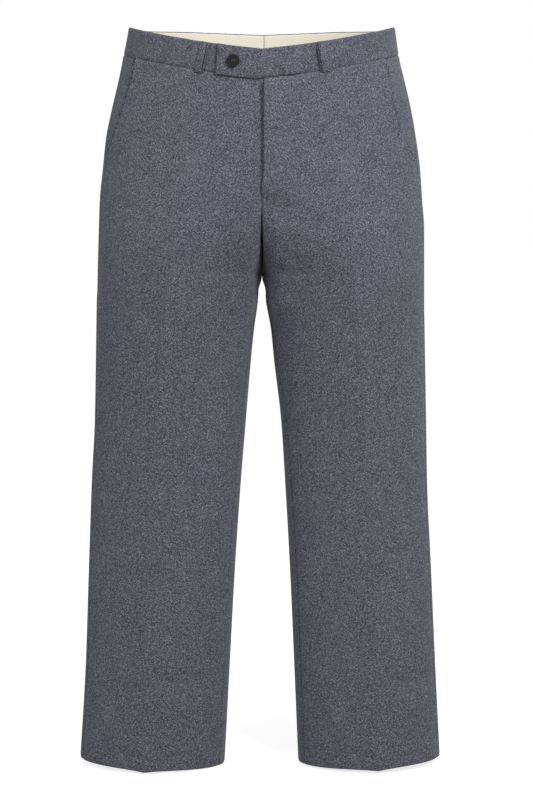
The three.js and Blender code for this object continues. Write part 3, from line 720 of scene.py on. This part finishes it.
def belt_loop(name, top, bottom):
    """A loop from one arc at its top to another at its foot."""
    rows, columns = 34, 29
    tilt, slot_width = LEAN_AND_SLOT.get(name, (0, 1.0))
    across = (crowded(columns, near=(0.3, 0.7, 1.1, 1.5), length=LOOP_WIDTH) - 0.5) * LOOP_WIDTH

    def lay(row, column):
        share = row / (rows - 1)
        arc = top + (bottom - top) * share + across[column]
        depth = LOOP_LENGTH * share
        arch = np.sin(np.pi * share) ** LOOP_ARCH
        lean = LOOP_TILT * across[column] / LOOP_WIDTH * tilt
        from_edge = LOOP_WIDTH / 2 - np.abs(across[column])
        out = BAND_STAND + LOOP_SEAT + LOOP_CLOTH + arch * (LOOP_STAND + lean)
        out -= LOOP_EDGE_ROLL * np.exp(-((from_edge / LOOP_EDGE_WIDTH) ** 2))
        if tilt:
            from_inner = LOOP_WIDTH / 2 - across[column] * np.sign(tilt)
            out -= LOOP_SLOT * np.exp(-(((from_inner - LOOP_SLOT_IN) / slot_width) ** 2))
        return waist_points(arc, depth, out), across[column] / 1000, -depth / 1000

    piece = cloth_grid(name + "_cloth", rows, columns, lay, LOOP_CLOTH)
    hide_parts(name)
    return piece


loops = {name: belt_loop(name, *ends) for name, ends in LOOPS.items()}

# %% [markdown]
# Sewing shows in a few places only: a bar of close thread where each pocket starts and ends, one
# at each end of a belt loop, and two bars of thread in the button. One stitch is a short rounded
# bar, and all of a kind are joined to one piece.


# %% A helper for stitches
def stitch_piece(name, stitches, radius):
    """One piece of thread stitches, each from one point to another, in metres."""
    mesh = bmesh.new()
    for start, end in stitches:
        run = Vector(end) - Vector(start)
        turn = run.to_track_quat("Z", "Y").to_matrix().to_4x4()
        place = Matrix.Translation((Vector(start) + Vector(end)) / 2) @ turn
        made = bmesh.ops.create_uvsphere(mesh, u_segments=8, v_segments=6, radius=1.0)
        stretch = Matrix.Diagonal((radius, radius, run.length / 2, 1))
        bmesh.ops.transform(mesh, matrix=place @ stretch, verts=made["verts"])
    for face in mesh.faces:
        face.smooth = True
    return finished(name, mesh)


def bar(centre, run, across, width, length, count):
    """A bar tack: count short stitches across, side by side over length."""
    spots = [centre + run * (length * (i / (count - 1) - 0.5)) for i in range(count)]
    return [(spot - across * (width / 2), spot + across * (width / 2)) for spot in spots]


def cloth_frame(side, z, arc_from, shift, out):
    """A place on a panel by its distance from a mark, with its directions round and up."""

    def spot(dz, ds):
        section = Section(side, [z + dz])
        return Vector(section.point(section.marks[arc_from] + shift + ds, np.array([out]))[0])

    here, above, round_ = spot(0, 0), spot(3, 0), spot(0, 3)
    up, run = (above - here).normalized(), (round_ - here).normalized()
    return here, run, up


# %% [markdown]
# The tacks lie on the pockets' edges at their own heights on each side, as the pockets do. The
# button is sewn with two upright bars of three threads each.

# %% Bar tacks, loop stitches and button thread
TACK_HEIGHTS = {"R": (-69.0, -188.0), "L": (-69.0, -192.0)}
TACK_LENGTH, STITCH = 11.5, 0.0016
TACK_THREAD, LOOP_THREAD = 0.00028, 0.00025
tacks = []
for side, heights in TACK_HEIGHTS.items():
    for z in heights:
        here, run, up = cloth_frame(side, z, "pocket", -TACK_LENGTH / 2, POCKET_STAND)
        tacks += bar(here, run, up, STITCH, TACK_LENGTH / 1000, 18)
pocket_tacks = stitch_piece("bar_tacks", tacks, TACK_THREAD)

LOOP_ENDS = ((0.06, 2.2), (0.94, LOOP_LENGTH - 3.2))
LOOP_TACK, ABOVE_CLOTH = 0.0085, 0.05
loop_rows = []
for top, bottom in LOOPS.values():
    for share, depth in LOOP_ENDS:
        arc = top + (bottom - top) * share
        arch = LOOP_STAND * np.sin(np.pi * share) ** LOOP_ARCH
        out = BAND_STAND + LOOP_SEAT + LOOP_CLOTH + arch + ABOVE_CLOTH
        here, along, up, _ = waist_frame(arc, depth, out)
        loop_rows += bar(here, along, up, STITCH, LOOP_TACK, 14)
loop_stitches = stitch_piece("loop_stitches", loop_rows, LOOP_THREAD)

BUTTON_FROM_CENTRE, BUTTON_BELOW_TOP, BUTTON_HOLES = 38.0, 21.3, 3.1
BUTTON_CLEAR, BUTTON_SEAT, BUTTON_DEPTH = 0.3, 0.4, 2.2
BUTTON_FACE = BAND_STAND + TAB_LIFT + BUTTON_CLEAR + BUTTON_SEAT + BUTTON_DEPTH
here, along, up, outward = waist_frame(-BUTTON_FROM_CENTRE, BUTTON_BELOW_TOP, BUTTON_FACE)
THREAD, THREAD_END, THREAD_OUT = 0.00035, 0.0003, 0.0001
hole = BUTTON_HOLES / 2000
threads = []
for offset in (-THREAD, 0.0, THREAD):
    for x in (-hole, hole):
        low, high = (here + along * (x + offset) + up * (sign * (hole + THREAD_END))
                     + outward * THREAD_OUT for sign in (-1, 1))
        threads.append((low, high))
button_thread = stitch_piece("button_thread", threads, THREAD)
print("stitches:", len(tacks) + len(loop_rows) + len(threads))

panels = [*fronts.values(), *backs.values(), *facings.values()]
strips = [*bands.values(), *linings.values(), *loops.values()]
for piece in [*panels, *strips, pocket_tacks, loop_stitches, button_thread]:
    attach(piece, "root")

# %% [markdown]
# The cloth is a medium weight wool in greys and blue-greys. Its twill lines run up to the left and
# up to the right in narrow stripes, a herringbone, and flecks of lighter and darker yarn soften
# them. Everything is made from the piece's own flat UV map, in millimetres, so the weave bends
# with the cloth. Wool scatters light at grazing angles, so it gets a little sheen.


# %% Node helpers
def node(tree, kind, inputs=None, **settings):
    made = tree.nodes.new(kind)
    for key, value in settings.items():
        setattr(made, key, value)
    for key, value in (inputs or {}).items():
        if isinstance(value, bpy.types.NodeSocket):
            tree.links.new(value, made.inputs[key])
        else:
            made.inputs[key].default_value = value
    return made


def maths(tree, operation, a, b=0.0, c=0.0):
    return node(tree, "ShaderNodeMath", {0: a, 1: b, 2: c}, operation=operation).outputs[0]


def material(name, roughness, sheen=0.0, specular=0.5):
    made = bpy.data.materials.new(name)
    made.use_nodes = True
    shader = made.node_tree.nodes["Principled BSDF"]
    shader.inputs["Roughness"].default_value = roughness
    shader.inputs["Sheen Weight"].default_value = sheen
    shader.inputs["Sheen Roughness"].default_value = 0.6
    shader.inputs["Specular IOR Level"].default_value = specular
    return made, made.node_tree, shader


def ramp(tree, factor, stops):
    made = node(tree, "ShaderNodeValToRGB", {"Fac": factor})
    while len(made.color_ramp.elements) < len(stops):
        made.color_ramp.elements.new(0.5)
    for element, (position, colour) in zip(made.color_ramp.elements, stops):
        element.position, element.color = position, (*colour, 1)
    return made.outputs["Color"]


# %% [markdown]
# The herringbone is 6.5 mm from stripe to stripe, with a twill line every 2.9 mm. The short dashes
# of yarn follow the twill lines and start anew in each stripe. The band is cut along the cloth, so
# its weave is turned and catches a little less light. That shade is painted into its colour, 9
# percent darker than the panels.

# %% Wool
STRIPE, STRIPE_SHIFT, TWILL, FLECK = 6.5, 7.3, 2.9, 1.5
WOOL = ((0.15, (0.017, 0.019, 0.027)), (0.5, (0.057, 0.061, 0.081)), (0.88, (0.155, 0.164, 0.2)))


def noise(tree, place, scale, detail=2.0, roughness=0.5):
    settings = {"Vector": place, "Scale": scale, "Detail": detail, "Roughness": roughness}
    return node(tree, "ShaderNodeTexNoise", settings).outputs["Fac"]


def flat_mm(tree):
    """The flat place on the piece's cloth, in millimetres."""
    flat = node(tree, "ShaderNodeUVMap", uv_map="cloth").outputs["UV"]
    in_mm = {0: flat, "Scale": 1000.0}
    return node(tree, "ShaderNodeVectorMath", in_mm, operation="SCALE").outputs[0]


def stretched(tree, a, b, scale_a, scale_b, layer=0.0):
    x, y = maths(tree, "MULTIPLY", a, scale_a), maths(tree, "MULTIPLY", b, scale_b)
    return node(tree, "ShaderNodeCombineXYZ", {0: x, 1: y, 2: layer}).outputs[0]


def wool(name, turned=False, painted_shade=1.0):
    made, tree, shader = material(name, roughness=0.92, sheen=0.12, specular=0.2)
    mm = flat_mm(tree)
    split = node(tree, "ShaderNodeSeparateXYZ", {0: mm}).outputs
    across, along = (split[1], split[0]) if turned else (split[0], split[1])
    wander = maths(tree, "MULTIPLY", noise(tree, mm, 0.06), 5.0)
    place = maths(tree, "ADD", across, wander)
    zigzag = maths(tree, "PINGPONG", place, STRIPE)
    number = maths(tree, "FLOOR", maths(tree, "DIVIDE", place, STRIPE))
    stripe = maths(tree, "MULTIPLY", number, STRIPE_SHIFT)
    rise = maths(tree, "ADD", zigzag, along)
    run = maths(tree, "SUBTRACT", zigzag, along)
    lines = maths(tree, "SINE", maths(tree, "MULTIPLY", rise, 2 * np.pi / (TWILL * np.sqrt(2))))
    dashes = noise(tree, stretched(tree, rise, run, 0.62, 0.22, stripe), 1.0, detail=1.0)
    fleck = noise(tree, mm, 1 / FLECK, detail=3.0, roughness=0.65)
    slub = noise(tree, stretched(tree, across, along, 1.1, 0.3), 1.0)
    cloud = noise(tree, mm, 0.03, detail=3.0)
    tone = maths(tree, "MULTIPLY_ADD", lines, 0.06, 0.46)
    for pattern, strength in ((dashes, 1.5), (fleck, 1.6), (slub, 0.6), (cloud, 0.15)):
        tone = maths(tree, "MULTIPLY_ADD", maths(tree, "SUBTRACT", pattern, 0.5), strength, tone)
    # a factor below 1 darkens the whole colour ramp: on the band this is painted shade
    colour = ramp(tree, tone, [(at, [painted_shade * part for part in shade]) for at, shade in WOOL])
    tree.links.new(colour, shader.inputs["Base Color"])
    yarns = maths(tree, "MULTIPLY_ADD", lines, 0.25, maths(tree, "ADD", fleck, dashes))
    height = maths(tree, "ADD", yarns, noise(tree, mm, 2.2))
    bump = node(tree, "ShaderNodeBump", {"Height": height, "Strength": 0.35, "Distance": 0.0004})
    tree.links.new(bump.outputs["Normal"], shader.inputs["Normal"])
    return made


wool_cloth = wool("wool_cloth")
# the band's copy of the wool is painted 9 percent darker, as painted shade for its turned weave
# catching less light
wool_band_painted_shade = wool("wool_band_painted_shade", turned=True, painted_shade=0.91)
for piece in panels:
    piece.data.materials.append(wool_cloth)
for piece in [*bands.values(), *loops.values()]:
    piece.data.materials.append(wool_band_painted_shade)

# %% [markdown]
# The band is lined with cream cotton twill, finer than the wool and a little shinier. The button
# is near black horn with faint streaks. The pockets' tacks are sewn with a pale thread, the loops
# with a grey one close to the wool, and the button with a dark one.

# %% Lining, horn and thread
CREAM = ((0.2, (0.44, 0.39, 0.32)), (0.55, (0.55, 0.51, 0.43)), (0.85, (0.63, 0.6, 0.53)))
HORN = ((0.3, (0.005, 0.005, 0.006)), (0.7, (0.022, 0.019, 0.018)))
lining_cloth, tree, shader = material("lining_cloth", roughness=0.7, sheen=0.1)
mm = flat_mm(tree)
split = node(tree, "ShaderNodeSeparateXYZ", {0: mm}).outputs
rib = maths(tree, "SINE", maths(tree, "MULTIPLY", maths(tree, "ADD", split[0], split[1]), 5.0))
tone = maths(tree, "MULTIPLY_ADD", rib, 0.12, noise(tree, mm, 0.6, detail=4.0))
tree.links.new(ramp(tree, tone, CREAM), shader.inputs["Base Color"])
bump = node(tree, "ShaderNodeBump", {"Height": tone, "Strength": 0.2, "Distance": 0.0003})
tree.links.new(bump.outputs["Normal"], shader.inputs["Normal"])

horn, tree, shader = material("horn", roughness=0.42, specular=0.12)
place = node(tree, "ShaderNodeTexCoord").outputs["Object"]
stretch = {"Vector": place, "Scale": (260.0, 260.0, 900.0)}
streak_place = node(tree, "ShaderNodeMapping", stretch).outputs[0]
streak = noise(tree, streak_place, 1.0, detail=4.0)
tree.links.new(ramp(tree, streak, HORN), shader.inputs["Base Color"])


def thread(name, dark, light):
    made, tree, shader = material(name, roughness=0.6, sheen=0.1)
    place = node(tree, "ShaderNodeTexCoord").outputs["Object"]
    colour = ramp(tree, noise(tree, place, 2600.0), ((0.3, dark), (0.7, light)))
    tree.links.new(colour, shader.inputs["Base Color"])
    return made


pale_thread = thread("pale_thread", (0.08, 0.084, 0.09), (0.18, 0.185, 0.19))
grey_thread = thread("grey_thread", (0.035, 0.037, 0.045), (0.09, 0.095, 0.11))
dark_thread = thread("dark_thread", (0.01, 0.01, 0.01), (0.035, 0.034, 0.034))
for piece in linings.values():
    piece.data.materials.append(lining_cloth)
sewing = ((pocket_tacks, pale_thread), (loop_stitches, grey_thread), (button_thread, dark_thread))
for piece, finish in sewing:
    piece.data.materials.append(finish)
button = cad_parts["button"]
button.data.materials.clear()
button.data.materials.append(horn)
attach(button, "root")

# %% [markdown]
# The size that every cloth piece was cut to is worked out and printed. The cut is as wide as
# the widest place of the piece round its surface, or as its area asks for, and as long as the
# piece from top to bottom.


# %% The cut of each sheet
def declare(piece, rests_on):
    weave = piece.data.uv_layers["cloth"].data
    flat = np.array([loop.uv[:] for loop in weave])
    width, length = np.ptp(flat, axis=0)
    area = sum(face.area for face in piece.data.polygons)
    flat_size = (float(max(width, area / length)), float(length))
    in_mm = [round(measure * 1000) for measure in flat_size]
    print(piece.name, "cut in mm:", *in_mm, "area m2:", round(area, 3))


for side, name in (("R", "right"), ("L", "left")):
    band_name = "waistband_" + name
    declare(fronts[side], [band_name])
    declare(backs[side], [band_name])
    declare(facings[side], [band_name])
    declare(bands[band_name], ["front_" + name])
    declare(linings["band_lining_" + name], [band_name])
for name, piece in loops.items():
    declare(piece, ["waistband_right" if "right" in name else "waistband_left"])

# %% [markdown]
# The camera stands straight in front at hip height, a little to the wearer's left, and a small
# shift frames the whole garment. A large soft light from the wearer's left shapes the creases,
# and a white surrounding fills the shadows, as in a white studio.

# %% Camera, floor and light
CAMERA = Vector((0.0065, -2.5, -0.36))
FRAME_HEIGHT, FRAME_MIDDLE = 1.152, -0.536
camera_data = bpy.data.cameras.new("camera")
camera_data.lens = camera_data.sensor_width * abs(CAMERA.y) / FRAME_HEIGHT
camera_data.shift_y = (FRAME_MIDDLE - CAMERA.z) / FRAME_HEIGHT
camera = linked("camera", camera_data)
camera.location = CAMERA
camera.rotation_euler = (np.pi / 2, 0, 0)
bpy.context.scene.camera = camera

FLOOR_SIZE, FLOOR_GAP = 30.0, 0.001
FLOOR_GLOW, FLOOR_GREY = 0.78, 0.45
floor_mesh = bmesh.new()
bmesh.ops.create_grid(floor_mesh, x_segments=1, y_segments=1, size=FLOOR_SIZE)
under_hems = (0, 0, cad_box[0][2] - FLOOR_GAP)
bmesh.ops.translate(floor_mesh, verts=floor_mesh.verts, vec=under_hems)
floor = finished("floor", floor_mesh)
floor_white, tree, shader = material("floor_white", roughness=0.9, specular=0.0)
shader.inputs["Base Color"].default_value = (FLOOR_GREY, FLOOR_GREY, FLOOR_GREY, 1)
shader.inputs["Emission Color"].default_value = (1, 1, 1, 1)
seen = node(tree, "ShaderNodeLightPath").outputs["Is Camera Ray"]
tree.links.new(maths(tree, "MULTIPLY", seen, FLOOR_GLOW), shader.inputs["Emission Strength"])
floor.data.materials.append(floor_white)

AMBIENT = 0.5
world = bpy.data.worlds.new("studio")
world.use_nodes = True
background = world.node_tree.nodes["Background"]
background.inputs["Color"].default_value = (1, 1, 1, 1)
seen = node(world.node_tree, "ShaderNodeLightPath").outputs["Is Camera Ray"]
glow = maths(world.node_tree, "MULTIPLY_ADD", seen, 1.0 - AMBIENT, AMBIENT)
world.node_tree.links.new(glow, background.inputs["Strength"])
bpy.context.scene.world = world
bpy.context.scene.view_settings.view_transform = "Standard"


def soft_light(name, place, aim, size, power):
    data = bpy.data.lights.new(name, "AREA")
    data.size, data.energy = size, power
    lamp = linked(name, data)
    lamp.location = place
    lamp.rotation_euler = (Vector(aim) - Vector(place)).to_track_quat("-Z", "Y").to_euler()


soft_light("key", (1.3, -1.95, 0.85), (0, 0, -0.1), 0.8, 69)
soft_light("fill", (-1.9, -1.5, 0.5), (0, 0, -0.3), 1.0, 23)
soft_light("top", (0.2, -0.7, 1.6), (0, 0, -0.1), 1.2, 16)
print("stage set")
